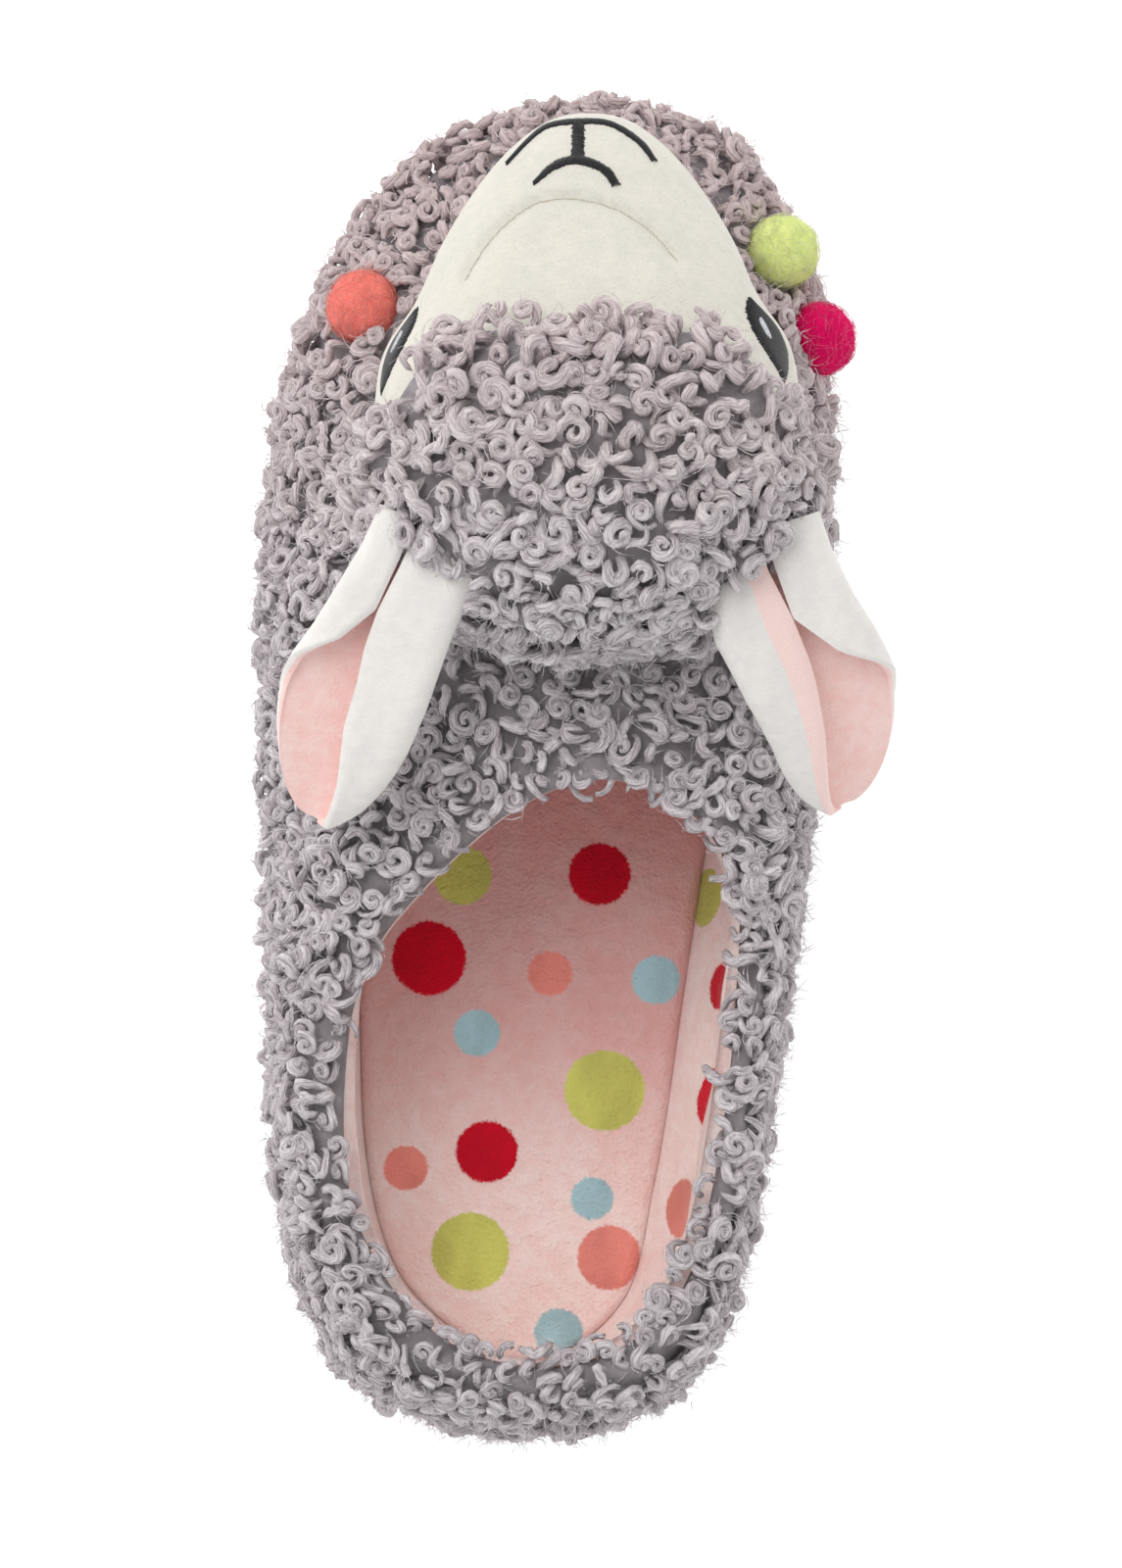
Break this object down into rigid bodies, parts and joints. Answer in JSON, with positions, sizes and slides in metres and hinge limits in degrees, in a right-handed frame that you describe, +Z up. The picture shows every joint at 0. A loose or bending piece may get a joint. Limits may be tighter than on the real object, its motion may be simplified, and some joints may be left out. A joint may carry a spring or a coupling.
{
  "type": "animal slipper",
  "caption": "Curly grey plush slipper for a left foot with a stuffed white-faced llama head, folded drooping ears, felt pompoms and a spotted pink lining",
  "frame": {"origin": "On the floor, half way along the sole, on the line from the middle of the heel to the toe", "axes": "+Y to the toe, +X to the inner (medial) side of the left foot, +Z up"},
  "size_m": [0.1216, 0.2625, 0.1235],
  "materials": {
    "sole_cloth": "close woven cloth with small rubber dots",
    "spotted_plush": "short soft pile",
    "curly_plush": "curled wool-like pile",
    "white_plush": "short brushed pile",
    "crown_plush": "curled wool-like pile",
    "eye_thread": "satin stitch",
    "ear_plush": "short brushed pile",
    "coral_felt": "felted wool",
    "lime_felt": "felted wool",
    "pink_felt": "felted wool"
  },
  "bodies": {
    "root": {"outsole": "sole_cloth", "insole": "spotted_plush", "upper": "curly_plush", "face": "white_plush", "crown": "crown_plush", "eye_lateral": "eye_thread", "eye_medial": "eye_thread", "ear_lateral": "ear_plush", "ear_medial": "ear_plush", "pompom_coral": "coral_felt", "pompom_lime": "lime_felt", "pompom_pink": "pink_felt"}
  },
  "joints": []
}
